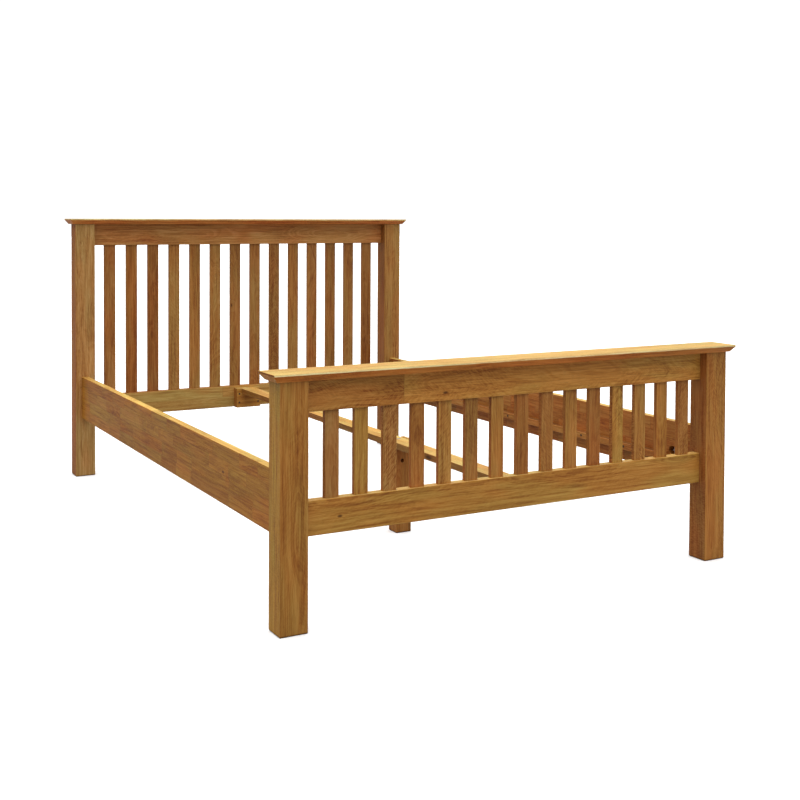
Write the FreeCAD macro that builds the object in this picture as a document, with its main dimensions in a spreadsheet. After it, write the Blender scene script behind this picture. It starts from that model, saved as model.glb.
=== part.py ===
import FreeCAD, Part
import Sketcher
import os
import re

# A wooden panel bed: a slatted headboard and a slatted footboard, each with a bevelled
# cap, joined by two side rails, with slat ledgers and a centre rail on a centre leg.
#
# Frame of the model, in millimetres: the origin lies on the floor at the middle of the
# bed, +X points to the right as seen from the foot, +Y to the headboard, +Z up.

doc = FreeCAD.newDocument("PanelBed")

# ---------------------------------------------------------------------------------
# Driving dimensions: name, value, what it measures
# ---------------------------------------------------------------------------------

SIZES = [
    ("mattress_width", 1500, "mattress that the bed holds, across"),
    ("mattress_length", 2000, "mattress that the bed holds, along"),
    ("mattress_side_gap", 9, "air between mattress and side rail, each side"),
    ("mattress_end_gap", 20.5, "air between mattress and post, each end"),

    ("post_width", 86, "corner post across the bed"),
    ("post_depth", 72, "corner post along the bed"),
    ("headboard_post_height", 1099, "headboard post, floor to cap"),
    ("footboard_post_height", 690, "footboard post, floor to cap"),
    ("foot_chamfer", 3, "chamfer round the foot of each post and of the leg"),
    ("arris_radius", 2, "rounding of the long edges of posts and rails"),
    ("slat_arris_radius", 1.2, "rounding of the long edges of slats and small timber"),

    ("cap_thickness", 23, "cap, top to underside"),
    ("cap_lip", 5, "square lip at the top of the cap"),
    ("cap_bevel", 14, "how far the bevel runs in under the lip"),
    ("cap_end_overhang", 25, "cap past the outer face of the posts"),
    ("cap_face_overhang", 18, "cap past the front and the back of the posts"),
    ("cap_edge_radius", 1.2, "rounding of the lip"),

    ("cross_rail_thickness", 28, "headboard and footboard rails, front to back"),
    ("headboard_rail_setback", 36, "headboard rails behind the face of the posts"),
    ("footboard_rail_setback", 30, "footboard rails behind the face of the posts"),
    ("headboard_top_rail_height", 94, "headboard top rail, top to bottom edge"),
    ("footboard_top_rail_height", 91, "footboard top rail, top to bottom edge"),
    ("headboard_bottom_rail_height", 98, "headboard bottom rail, top to bottom edge"),
    ("footboard_bottom_rail_height", 98, "footboard bottom rail, top to bottom edge"),
    ("headboard_bottom_rail_level", 246, "floor to headboard bottom rail"),
    ("footboard_bottom_rail_level", 256, "floor to footboard bottom rail"),
    ("tenon_length", 30, "rail tenon into the post"),
    ("tenon_thickness", 12, "rail tenon, front to back"),
    ("tenon_shoulder", 12, "rail tenon below and above the rail's edges"),

    ("headboard_slat_count", 14, "upright slats in the headboard"),
    ("headboard_slat_width", 50, "headboard slat, face width"),
    ("headboard_slat_left_gap", 54, "left headboard post to the first slat"),
    ("headboard_slat_right_gap", 54, "last slat to the right headboard post"),
    ("footboard_slat_count", 15, "upright slats in the footboard"),
    ("footboard_slat_width", 44, "footboard slat, face width"),
    ("footboard_slat_left_gap", 68, "left footboard post to the first slat"),
    ("footboard_slat_right_gap", 44, "last slat to the right footboard post"),
    ("slat_thickness", 15, "upright slats, front to back"),
    ("slat_tenon_length", 14, "slat tenon into the rail"),
    ("slat_face_shoulder", 3, "slat tenon inside the slat's faces"),
    ("slat_edge_shoulder", 5, "slat tenon inside the slat's edges"),

    ("joint_clearance", 0.2, "play round a tenon, dowel or shank, each side"),
    ("joint_end_clearance", 1, "glue room at the bottom of a mortise or hole"),

    ("side_rail_thickness", 29, "side rail, inner to outer face"),
    ("side_rail_height", 181, "side rail, top to bottom edge"),
    ("side_rail_level", 253, "floor to side rail"),
    ("side_rail_inset", 27, "side rail inside the outer face of the posts"),

    ("ledger_seat_level", 321, "floor to the mattress slats' seat on the ledgers"),
    ("centre_seat_level", 334, "floor to their seat on the centre rail"),
    ("ledger_width", 28, "slat ledger, out from the side rail"),
    ("ledger_height", 24, "slat ledger, top to bottom"),
    ("ledger_end_gap", 140, "ledger short of the posts, each end"),
    ("ledger_screw_count", 7, "screws in each ledger"),
    ("ledger_screw_spacing", 232, "from one ledger screw to the next"),
    ("ledger_screw_length", 45, "ledger screw with its head"),

    ("centre_rail_width", 70, "centre rail across the bed"),
    ("centre_rail_thickness", 23, "centre rail, top to underside"),
    ("centre_rail_end_clearance", 0.5, "centre rail short of the bottom rails, each end"),
    ("centre_rail_screw_length", 45, "centre rail screw with its head"),
    ("hanger_width", 118, "notched block that holds an end of the centre rail, across"),
    ("hanger_depth", 37, "hanger out from the bottom rail"),
    ("hanger_screw_length", 55, "hanger screw with its head"),
    ("hanger_screw_in", 24, "edges of the hanger to its screws, up and down"),

    ("leg_width", 50, "centre leg across the bed"),
    ("leg_depth", 52, "centre leg along the bed"),
    ("leg_from_foot", 738, "face of the footboard posts to face of the leg"),
    ("cheek_thickness", 12, "cheek board that ties the leg to the centre rail"),
    ("cheek_proud", 2, "cheek board above the centre rail"),
    ("leg_bolt_diameter", 8, "bolt through the centre rail into the leg"),
    ("leg_bolt_head_diameter", 16, "leg bolt, sunk head"),
    ("leg_bolt_head_height", 4, "leg bolt, depth of the sunk head"),
    ("barrel_nut_drop", 51, "underside of the centre rail to the barrel nut"),
    ("barrel_nut_diameter", 14, "barrel nut of the leg bolt"),
    ("barrel_nut_length", 20, "barrel nut, end to end"),
    ("cheek_screw_length", 30, "cheek screw with its head"),
    ("cheek_screw_low", 80, "floor to the lowest cheek screw"),
    ("cheek_screw_high", 215, "floor to the middle cheek screw"),

    ("screw_diameter", 4.5, "wood screw shank"),
    ("screw_head_diameter", 9, "wood screw, sunk head"),
    ("screw_head_height", 2.4, "wood screw, depth of the sunk head"),

    ("dowel_diameter", 10, "wooden dowels"),
    ("cap_dowel_length", 40, "dowels under the caps"),
    ("cap_dowel_in_cap", 12, "how far a cap dowel enters the cap"),
    ("cap_dowel_count", 4, "dowels along each top rail"),
    ("rail_dowel_length", 50, "dowels at the ends of the side rails"),
    ("rail_dowel_low", 30, "bottom edge of the side rail to its lower dowel"),
    ("rail_dowel_high", 142, "bottom edge of the side rail to its upper dowel"),

    ("bed_bolt_diameter", 8, "stud of the bed bolt"),
    ("bed_bolt_play", 1, "play round the stud in the side rail, each side"),
    ("bed_bolt_up", 78, "bottom edge of the side rail to the bed bolt"),
    ("bed_bolt_tail", 7, "stud past its nut"),
    ("nut_pocket_diameter", 34, "round pocket for the bed bolt's nut"),
    ("nut_pocket_depth", 22, "nut pocket into the side rail"),
    ("nut_pocket_in", 110, "end of the side rail to the middle of the pocket"),
    ("nut_across_flats", 13, "bed bolt nut"),
    ("nut_height", 6.5, "bed bolt nut"),
    ("half_moon_flat", 5, "middle of the pocket to the flat of the half moon washer"),
    ("half_moon_height", 18, "half moon washer, into the pocket"),
    ("insert_diameter", 14, "threaded insert in the post"),
    ("insert_length", 22, "threaded insert in the post"),
]

# ---------------------------------------------------------------------------------
# Places and sizes that follow from the driving dimensions
# ---------------------------------------------------------------------------------

LAYOUT = [
    ("inner_width", "mattress_width + 2 * mattress_side_gap"),
    ("inner_length", "mattress_length + 2 * mattress_end_gap"),
    ("frame_width", "inner_width + 2 * (side_rail_thickness + side_rail_inset)"),
    ("post_gap", "frame_width - 2 * post_width"),
    ("foot_face", "-inner_length / 2 - post_depth"),
    ("head_face", "inner_length / 2"),

    ("footboard_rail_face", "foot_face + footboard_rail_setback"),
    ("headboard_rail_face", "head_face + headboard_rail_setback"),
    ("footboard_top_rail_level", "footboard_post_height - footboard_top_rail_height"),
    ("headboard_top_rail_level", "headboard_post_height - headboard_top_rail_height"),
    ("footboard_slat_level", "footboard_bottom_rail_level + footboard_bottom_rail_height"),
    ("headboard_slat_level", "headboard_bottom_rail_level + headboard_bottom_rail_height"),
    ("footboard_slat_pitch",
     "(post_gap - footboard_slat_left_gap - footboard_slat_right_gap - footboard_slat_width)"
     " / (footboard_slat_count - 1)"),
    ("headboard_slat_pitch",
     "(post_gap - headboard_slat_left_gap - headboard_slat_right_gap - headboard_slat_width)"
     " / (headboard_slat_count - 1)"),
    ("slat_setback", "(cross_rail_thickness - slat_thickness) / 2"),
    ("slat_tenon_thickness", "slat_thickness - 2 * slat_face_shoulder"),

    ("cap_length", "frame_width + 2 * cap_end_overhang"),
    ("cap_depth", "post_depth + 2 * cap_face_overhang"),
    ("cap_bevel_height", "cap_thickness - cap_lip"),

    ("mortise_depth", "tenon_length + joint_end_clearance"),
    ("mortise_thickness", "tenon_thickness + 2 * joint_clearance"),
    ("slat_mortise_depth", "slat_tenon_length + joint_end_clearance"),
    ("dowel_hole", "dowel_diameter + 2 * joint_clearance"),
    ("screw_hole", "screw_diameter + 2 * joint_clearance"),
    ("screw_sink", "screw_head_diameter + 2 * joint_clearance"),

    ("ledger_length", "inner_length - 2 * ledger_end_gap"),
    ("ledger_level", "ledger_seat_level - ledger_height"),
    ("ledger_first_screw",
     "(ledger_length - (ledger_screw_count - 1) * ledger_screw_spacing) / 2"),

    ("centre_rail_start",
     "footboard_rail_face + cross_rail_thickness + centre_rail_end_clearance"),
    ("centre_rail_end", "headboard_rail_face - centre_rail_end_clearance"),
    ("centre_rail_length", "centre_rail_end - centre_rail_start"),
    ("centre_rail_level", "centre_seat_level - centre_rail_thickness"),
    ("hanger_wall", "(hanger_width - centre_rail_width) / 2 - joint_clearance"),
    ("leg_left", "centre_rail_width / 2 - leg_width"),
    ("leg_face", "foot_face + leg_from_foot"),
    ("leg_bolt_across", "leg_left + leg_width / 2"),
    ("leg_bolt_along", "leg_face + leg_depth / 2"),
    ("barrel_nut_level", "centre_rail_level - barrel_nut_drop"),
    ("leg_bolt_length", "centre_rail_thickness + barrel_nut_drop + barrel_nut_diameter / 2"),

    ("side_rail_middle", "side_rail_inset + side_rail_thickness / 2"),
    ("bed_bolt_level", "side_rail_level + bed_bolt_up"),
    ("bed_bolt_hole", "bed_bolt_diameter + 2 * bed_bolt_play"),
    ("half_moon_radius", "nut_pocket_diameter / 2 - joint_clearance"),
    ("bed_bolt_in_rail", "nut_pocket_in - half_moon_flat + nut_height + bed_bolt_tail"),
]


def fill_sheet(name, rows):
    """A spreadsheet with one named cell for each row."""
    sheet = doc.addObject("Spreadsheet::Sheet", name)
    for line, (alias, content, note) in enumerate(rows, start=1):
        sheet.set(f"A{line}", note)
        sheet.set(f"B{line}", content)
        sheet.setAlias(f"B{line}", alias)
    doc.recompute()
    return sheet


HOME = {alias: "Sizes." for alias, value, note in SIZES}
HOME.update({alias: "Layout." for alias, formula in LAYOUT})


def expand(text):
    """An expression in which each named size is led by the sheet that holds it."""
    return re.sub(r"[a-z_]+", lambda word: HOME.get(word.group(), "") + word.group(), text)


sizes = fill_sheet("Sizes", [(alias, str(value), note) for alias, value, note in SIZES])
layout = fill_sheet("Layout", [(alias, "=" + expand(formula), alias.replace("_", " "))
                               for alias, formula in LAYOUT])


def count(alias):
    """A whole number from the sheet of driving dimensions."""
    return int(round(sizes.get(alias)))


def bind(item, path, expression):
    """Tie one property of an object to an expression of named sizes."""
    item.setExpression(path, expand(expression))


def place(item, at):
    """Tie the place of an object to three expressions."""
    for axis, expression in zip("xyz", at):
        bind(item, f"Placement.Base.{axis}", expression)


# ---------------------------------------------------------------------------------
# Timber: bodies with sketched features
# ---------------------------------------------------------------------------------

PLANE_ALONG = {"X": "YZ_Plane", "Y": "XZ_Plane", "Z": "XY_Plane"}

# Numbers closer than this are taken as equal
SAME = 1e-6


def new_body(label, at):
    """A body whose own axes run along those of the bed, with its low corner at a place."""
    body = doc.addObject("PartDesign::Body", label)
    body.Label = label
    place(body, at)
    return body


def sketch_across(body, name, axis, at):
    """A sketch square to an axis of the body, with its origin at a place in the body."""
    sketch = body.newObject("Sketcher::SketchObject", f"{body.Name}_{name}_sketch")
    plane = next(item for item in body.Origin.OriginFeatures
                 if item.Role == PLANE_ALONG[axis])
    sketch.AttachmentSupport = [(plane, "")]
    sketch.MapMode = "FlatFace"
    along_x, along_y, along_z = at
    in_plane = {
        "X": (along_y, along_z, along_x),
        "Y": (along_x, along_z, f"-({along_y})"),
        "Z": (along_x, along_y, along_z),
    }[axis]
    for letter, expression in zip("xyz", in_plane):
        bind(sketch, f"AttachmentOffset.Base.{letter}", expression)
    return sketch


def add_rectangle(sketch, width, height):
    """A rectangle from the sketch's origin, with both sides tied to expressions."""
    start = 10
    corners = [(0, 0), (start, 0), (start, start), (0, start)]
    points = [FreeCAD.Vector(u, v, 0) for u, v in corners]
    for first, second in zip(points, points[1:] + points[:1]):
        sketch.addGeometry(Part.LineSegment(first, second), False)
    for line in range(len(corners)):
        after = (line + 1) % len(corners)
        sketch.addConstraint(Sketcher.Constraint("Coincident", line, 2, after, 1))
    for line, direction in enumerate(["Horizontal", "Vertical"] * 2):
        sketch.addConstraint(Sketcher.Constraint(direction, line))
    sketch.addConstraint(Sketcher.Constraint("Coincident", 0, 1, -1, 1))
    for line, name, side in ((0, "width", width), (1, "height", height)):
        index = sketch.addConstraint(Sketcher.Constraint("Distance", line, start))
        sketch.renameConstraint(index, name)
        bind(sketch, f"Constraints.{name}", side)


def add_circle(sketch, diameter):
    """A circle round the sketch's origin, with its diameter tied to an expression."""
    start = 5
    circle = Part.Circle(FreeCAD.Vector(0, 0, 0), FreeCAD.Vector(0, 0, 1), start)
    sketch.addGeometry(circle, False)
    sketch.addConstraint(Sketcher.Constraint("Coincident", 0, 3, -1, 1))
    index = sketch.addConstraint(Sketcher.Constraint("Diameter", 0, 2 * start))
    sketch.renameConstraint(index, "diameter")
    bind(sketch, "Constraints.diameter", diameter)


def add_block(body, name, at, size):
    """Pad a box from its low corner: the solid timber of a piece."""
    sketch = sketch_across(body, name, "Z", at)
    add_rectangle(sketch, size[0], size[1])
    pad = body.newObject("PartDesign::Pad", f"{body.Name}_{name}")
    pad.Profile = sketch
    bind(pad, "Length", size[2])
    return pad


def cut_block(body, name, at, size):
    """Pocket a box from its low corner: a mortise or a notch."""
    sketch = sketch_across(body, name, "Z", at)
    add_rectangle(sketch, size[0], size[1])
    pocket = body.newObject("PartDesign::Pocket", f"{body.Name}_{name}")
    pocket.Profile = sketch
    pocket.Reversed = True
    bind(pocket, "Length", size[2])
    return pocket


def bore(body, name, axis, at, diameter, depth, backwards=False):
    """Pocket a round hole from a place along an axis, or against it."""
    sketch = sketch_across(body, name, axis, at)
    add_circle(sketch, diameter)
    pocket = body.newObject("PartDesign::Pocket", f"{body.Name}_{name}")
    pocket.Profile = sketch
    # the sketch square to Y faces down the axis, the other two face up it
    pocket.Reversed = backwards if axis == "Y" else not backwards
    bind(pocket, "Length", depth)
    return pocket


TURN = {
    "+X": FreeCAD.Rotation(FreeCAD.Vector(0, 1, 0), 90),
    "-X": FreeCAD.Rotation(FreeCAD.Vector(0, 1, 0), -90),
    "+Y": FreeCAD.Rotation(FreeCAD.Vector(1, 0, 0), -90),
    "-Y": FreeCAD.Rotation(FreeCAD.Vector(1, 0, 0), 90),
    "+Z": FreeCAD.Rotation(),
    "-Z": FreeCAD.Rotation(FreeCAD.Vector(1, 0, 0), 180),
}


def countersink(body, name, way, at, wide, narrow, depth):
    """Cut a cone for a sunk screw head, wide at a place and narrow further along."""
    cone = body.newObject("PartDesign::SubtractiveCone", f"{body.Name}_{name}")
    cone.Placement = FreeCAD.Placement(FreeCAD.Vector(), TURN[way])
    place(cone, at)
    bind(cone, "Radius1", f"({wide}) / 2")
    bind(cone, "Radius2", f"({narrow}) / 2")
    bind(cone, "Height", depth)
    return cone


def screw_hole(body, name, way, at, depth):
    """A shank hole with a countersink at its mouth, at a place and along a way."""
    backwards = way.startswith("-")
    hole = bore(body, name, way[1], at, "screw_hole", depth, backwards)
    sink = countersink(body, f"{name}_sink", way, at, "screw_sink", "screw_hole",
                       "screw_head_height")
    return [hole, sink]


def repeat_along(body, name, features, axis, spacing, number):
    """Repeat cuts in a straight row along an axis of the body."""
    pattern = body.newObject("PartDesign::LinearPattern", f"{body.Name}_{name}")
    pattern.Originals = features
    line = next(item for item in body.Origin.OriginFeatures if item.Role == f"{axis}_Axis")
    pattern.Direction = (line, [""])
    bind(pattern, "Length", f"({spacing}) * ({number} - 1)")
    bind(pattern, "Occurrences", number)
    body.Tip = pattern
    return pattern


def edges_along(feature, axis):
    """Names of the straight edges of a feature that run along an axis."""
    doc.recompute()
    direction = {"X": (1, 0, 0), "Y": (0, 1, 0), "Z": (0, 0, 1)}[axis]
    wanted = FreeCAD.Vector(*direction)
    names = []
    for number, edge in enumerate(feature.Shape.Edges, start=1):
        run = edge.Vertexes[-1].Point - edge.Vertexes[0].Point
        if run.Length > 0 and abs(abs(run.dot(wanted)) / run.Length - 1) < SAME:
            names.append(f"Edge{number}")
    return names


def edges_at_height(feature, height):
    """Names of the edges of a feature that lie at one height in the body."""
    doc.recompute()
    names = []
    for number, edge in enumerate(feature.Shape.Edges, start=1):
        box = edge.BoundBox
        if abs(box.ZMin - height) < SAME and abs(box.ZMax - height) < SAME:
            names.append(f"Edge{number}")
    return names


def round_edges(body, feature, names, radius):
    """Round named edges of a feature with one radius."""
    fillet = body.newObject("PartDesign::Fillet", f"{body.Name}_arris")
    fillet.Base = (feature, names)
    bind(fillet, "Radius", radius)
    return fillet


def chamfer_foot(body, feature):
    """Chamfer the edges round the foot of an upright."""
    chamfer = body.newObject("PartDesign::Chamfer", f"{body.Name}_foot")
    chamfer.Base = (feature, edges_at_height(feature, 0))
    bind(chamfer, "Size", "foot_chamfer")
    return chamfer


# ---------------------------------------------------------------------------------
# Hardware: primitives, grouped where the same piece is used more than once
# ---------------------------------------------------------------------------------


def cylinder(name, way, at, diameter, length):
    """A round bar that starts at a place and runs along a way."""
    bar = doc.addObject("Part::Cylinder", name)
    bar.Placement = FreeCAD.Placement(FreeCAD.Vector(), TURN[way])
    place(bar, at)
    bind(bar, "Radius", f"({diameter}) / 2")
    bind(bar, "Height", length)
    return bar


def sunk_bolt(name, way, at, diameter, head_diameter, head_height, length):
    """A screw or bolt with a sunk head: its face at a place, its shank along a way."""
    head = doc.addObject("Part::Cone", f"{name}_head")
    head.Placement = FreeCAD.Placement(FreeCAD.Vector(), TURN[way])
    place(head, at)
    bind(head, "Radius1", f"({head_diameter}) / 2")
    bind(head, "Radius2", f"({diameter}) / 2")
    bind(head, "Height", head_height)
    shank = cylinder(f"{name}_shank", way, at, diameter, length)
    whole = doc.addObject("Part::Fuse", name)
    whole.Base = head
    whole.Tool = shank
    return whole


def wood_screw(name, way, at, length):
    """The wood screw of the bed, with its head's face at a place."""
    return sunk_bolt(name, way, at, "screw_diameter", "screw_head_diameter",
                     "screw_head_height", length)


def bored(name, solid, bar):
    """A solid with a round bar taken out of it."""
    cut = doc.addObject("Part::Cut", name)
    cut.Base = solid
    cut.Tool = bar
    return cut


def group(label, pieces):
    """One node that holds several equal pieces as separate solids."""
    compound = doc.addObject("Part::Compound", label)
    compound.Label = label
    compound.Links = pieces
    return compound


def step_along(expression, way, distance):
    """An expression moved a distance up or down its axis."""
    return f"{expression} {way[0]} ({distance})"


nodes = []

# The two sides of the bed: the name, the low corner of its posts, where a post's inner
# face and a mortise in it start, and the way from the middle of the bed outwards.
SIDES = {
    "left": {
        "post_corner": "-frame_width / 2",
        "mortise": "post_width - mortise_depth",
        "rail_middle_in_post": "side_rail_middle",
        "rail_corner": "-inner_width / 2 - side_rail_thickness",
        "rail_inner_face": "side_rail_thickness",
        "ledger_corner": "-inner_width / 2",
        "ledger_inner_face": "ledger_width",
        "outwards": "-X",
        "sign": "-",
    },
    "right": {
        "post_corner": "frame_width / 2 - post_width",
        "mortise": "0",
        "rail_middle_in_post": "post_width - side_rail_middle",
        "rail_corner": "inner_width / 2",
        "rail_inner_face": "0",
        "ledger_corner": "inner_width / 2 - ledger_width",
        "ledger_inner_face": "0",
        "outwards": "+X",
        "sign": "",
    },
}

# The two ends of the bed: the low corner of its posts along the bed, the face of a post
# that the side rails meet, the way from that face into the post, the end of a side rail
# that meets it, and the faces of the bottom rail and of the hanger on it.
ENDS = {
    "headboard": {
        "post_corner": "head_face",
        "joint_face": "0",
        "into_post": "+Y",
        "rail_end": "inner_length",
        "joint": "inner_length / 2",
        "rail_inner_face": "0",
        "hanger_near": "headboard_rail_face - hanger_depth",
        "hanger_face": "0",
        "hanger_seat": "hanger_depth / 2 - centre_rail_end_clearance",
    },
    "footboard": {
        "post_corner": "foot_face",
        "joint_face": "post_depth",
        "into_post": "-Y",
        "rail_end": "0",
        "joint": "-inner_length / 2",
        "rail_inner_face": "cross_rail_thickness",
        "hanger_near": "footboard_rail_face + cross_rail_thickness",
        "hanger_face": "hanger_depth",
        "hanger_seat": "hanger_depth / 2 + centre_rail_end_clearance",
    },
}

OPPOSITE = {"+X": "-X", "-X": "+X", "+Y": "-Y", "-Y": "+Y"}

# ---------------------------------------------------------------------------------
# Headboard and footboard
# ---------------------------------------------------------------------------------


def make_post(board, side):
    """A corner post with two rail mortises and the holes for cap and side rail."""
    end = ENDS[board]
    across = SIDES[side]
    body = new_body(f"{board}_post_{side}", (across["post_corner"], end["post_corner"], "0"))
    timber = add_block(body, "timber", ("0", "0", "0"),
                       ("post_width", "post_depth", f"{board}_post_height"))
    foot = chamfer_foot(body, timber)
    round_edges(body, foot, edges_along(foot, "Z"), "arris_radius")

    mortise_front = (f"{board}_rail_setback + (cross_rail_thickness - tenon_thickness) / 2"
                     " - joint_clearance")
    for rail in ("top", "bottom"):
        low = f"{board}_{rail}_rail_level + tenon_shoulder - joint_clearance"
        high = f"{board}_{rail}_rail_height - 2 * tenon_shoulder + 2 * joint_clearance"
        cut_block(body, f"{rail}_mortise", (across["mortise"], mortise_front, low),
                  ("mortise_depth", "mortise_thickness", high))

    cap_hole_depth = "cap_dowel_length - cap_dowel_in_cap + joint_end_clearance"
    bore(body, "cap_dowel", "Z", ("post_width / 2", "post_depth / 2", f"{board}_post_height"),
         "dowel_hole", cap_hole_depth, backwards=True)

    backwards = end["into_post"] == "-Y"
    middle = across["rail_middle_in_post"]
    bore(body, "insert_hole", "Y", (middle, end["joint_face"], "bed_bolt_level"),
         "insert_diameter + 2 * joint_clearance", "insert_length + joint_end_clearance",
         backwards)
    for level in ("low", "high"):
        bore(body, f"{level}_dowel", "Y",
             (middle, end["joint_face"], f"side_rail_level + rail_dowel_{level}"),
             "dowel_hole", "rail_dowel_length / 2 + joint_end_clearance", backwards)
    return body


def make_cross_rail(board, rail):
    """A headboard or footboard rail: tenons at both ends and a row of slat mortises."""
    height = f"{board}_{rail}_rail_height"
    body = new_body(f"{board}_{rail}_rail",
                    ("-post_gap / 2", f"{board}_rail_face", f"{board}_{rail}_rail_level"))
    timber = add_block(body, "timber", ("0", "0", "0"),
                       ("post_gap", "cross_rail_thickness", height))
    round_edges(body, timber, edges_along(timber, "X"), "arris_radius")
    add_block(body, "tenons",
              ("-tenon_length", "(cross_rail_thickness - tenon_thickness) / 2",
               "tenon_shoulder"),
              ("post_gap + 2 * tenon_length", "tenon_thickness",
               f"{height} - 2 * tenon_shoulder"))

    mortise_level = "0" if rail == "top" else f"{height} - slat_mortise_depth"
    mortise = cut_block(
        body, "slat_mortise",
        (f"{board}_slat_left_gap + slat_edge_shoulder - joint_clearance",
         "slat_setback + slat_face_shoulder - joint_clearance", mortise_level),
        (f"{board}_slat_width - 2 * slat_edge_shoulder + 2 * joint_clearance",
         "slat_tenon_thickness + 2 * joint_clearance", "slat_mortise_depth"))
    repeat_along(body, "slat_mortises", [mortise], "X",
                 f"{board}_slat_pitch", f"{board}_slat_count")

    if rail == "top":
        hole = bore(body, "cap_dowel", "Z",
                    ("post_gap / cap_dowel_count / 2", "cross_rail_thickness / 2", height),
                    "dowel_hole", "cap_dowel_length - cap_dowel_in_cap + joint_end_clearance",
                    backwards=True)
        repeat_along(body, "cap_dowels", [hole], "X",
                     "post_gap / cap_dowel_count", "cap_dowel_count")
    return body


def make_slat(board, number):
    """One upright slat with a stub tenon at each end."""
    width = f"{board}_slat_width"
    span = f"({board}_top_rail_level - {board}_slat_level)"
    body = new_body(
        f"{board}_slat_{number + 1:02d}",
        (f"-post_gap / 2 + {board}_slat_left_gap + {number} * {board}_slat_pitch",
         f"{board}_rail_face + slat_setback", f"{board}_slat_level"))
    timber = add_block(body, "timber", ("0", "0", "0"), (width, "slat_thickness", span))
    round_edges(body, timber, edges_along(timber, "Z"), "slat_arris_radius")
    add_block(body, "tenons",
              ("slat_edge_shoulder", "slat_face_shoulder", "-slat_tenon_length"),
              (f"{width} - 2 * slat_edge_shoulder", "slat_tenon_thickness",
               f"{span} + 2 * slat_tenon_length"))
    return body


def make_cap(board):
    """A cap with a square lip, a bevel below it and dowel holes in its underside."""
    body = new_body(f"{board}_cap",
                    ("-cap_length / 2", f"{ENDS[board]['post_corner']} - cap_face_overhang",
                     f"{board}_post_height"))
    low = sketch_across(body, "underside", "Z", ("cap_bevel", "cap_bevel", "0"))
    add_rectangle(low, "cap_length - 2 * cap_bevel", "cap_depth - 2 * cap_bevel")
    high = sketch_across(body, "bevel_top", "Z", ("0", "0", "cap_bevel_height"))
    add_rectangle(high, "cap_length", "cap_depth")
    bevel = body.newObject("PartDesign::AdditiveLoft", f"{body.Name}_bevel")
    bevel.Profile = low
    bevel.Sections = [high]
    bevel.Ruled = True
    lip = add_block(body, "lip", ("0", "0", "cap_bevel_height"),
                    ("cap_length", "cap_depth", "cap_lip"))
    top_edges = edges_at_height(lip, sizes.get("cap_thickness"))
    round_edges(body, lip, top_edges + edges_along(lip, "Z"), "cap_edge_radius")

    hole_depth = "cap_dowel_in_cap + joint_end_clearance"
    for side, across in (("left", "cap_end_overhang + post_width / 2"),
                         ("right", "cap_length - cap_end_overhang - post_width / 2")):
        bore(body, f"{side}_dowel", "Z", (across, "cap_depth / 2", "0"),
             "dowel_hole", hole_depth)
    row = bore(body, "row_dowel", "Z",
               ("cap_end_overhang + post_width + post_gap / cap_dowel_count / 2",
                f"cap_face_overhang + {board}_rail_setback + cross_rail_thickness / 2", "0"),
               "dowel_hole", hole_depth)
    repeat_along(body, "row_dowels", [row], "X", "post_gap / cap_dowel_count",
                 "cap_dowel_count")
    return body


def make_cap_dowels():
    """Dowels that hold both caps: one in each post and a row in each top rail."""
    dowels = []
    for board, end in ENDS.items():
        level = f"{board}_post_height + cap_dowel_in_cap - cap_dowel_length"
        places = [(f"{SIDES[side]['post_corner']} + post_width / 2",
                   f"{end['post_corner']} + post_depth / 2") for side in SIDES]
        places += [(f"-post_gap / 2 + post_gap / cap_dowel_count * ({number} + 1 / 2)",
                    f"{board}_rail_face + cross_rail_thickness / 2")
                   for number in range(count("cap_dowel_count"))]
        for across, along in places:
            dowels.append(cylinder(f"cap_dowel_{len(dowels) + 1}", "+Z",
                                   (across, along, level), "dowel_diameter",
                                   "cap_dowel_length"))
    return group("cap_dowels", dowels)


# ---------------------------------------------------------------------------------
# Side rails, ledgers and bed bolts
# ---------------------------------------------------------------------------------


def make_side_rail(side):
    """A side rail with dowel holes, bed bolt holes and nut pockets at both ends."""
    across = SIDES[side]
    body = new_body(f"side_rail_{side}",
                    (across["rail_corner"], "-inner_length / 2", "side_rail_level"))
    timber = add_block(body, "timber", ("0", "0", "0"),
                       ("side_rail_thickness", "inner_length", "side_rail_height"))
    round_edges(body, timber, edges_along(timber, "Y"), "arris_radius")

    inwards_face = across["rail_inner_face"]
    inner_is_low = inwards_face == "0"
    for board, end in ENDS.items():
        backwards = end["into_post"] == "+Y"
        way = "-" if backwards else "+"
        bore(body, f"{board}_bolt", "Y",
             ("side_rail_thickness / 2", end["rail_end"], "bed_bolt_up"),
             "bed_bolt_hole", "nut_pocket_in", backwards)
        bore(body, f"{board}_pocket", "X",
             (inwards_face, step_along(end["rail_end"], way, "nut_pocket_in"), "bed_bolt_up"),
             "nut_pocket_diameter", "nut_pocket_depth", backwards=not inner_is_low)
        for level in ("low", "high"):
            bore(body, f"{board}_{level}_dowel", "Y",
                 ("side_rail_thickness / 2", end["rail_end"], f"rail_dowel_{level}"),
                 "dowel_hole", "rail_dowel_length / 2 + joint_end_clearance", backwards)

    pilot = bore(body, "ledger_pilot", "X",
                 (inwards_face, "ledger_end_gap + ledger_first_screw",
                  "ledger_level - side_rail_level + ledger_height / 2"),
                 "screw_hole", "ledger_screw_length - ledger_width + joint_end_clearance",
                 backwards=not inner_is_low)
    repeat_along(body, "ledger_pilots", [pilot], "Y", "ledger_screw_spacing",
                 "ledger_screw_count")
    return body


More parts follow.
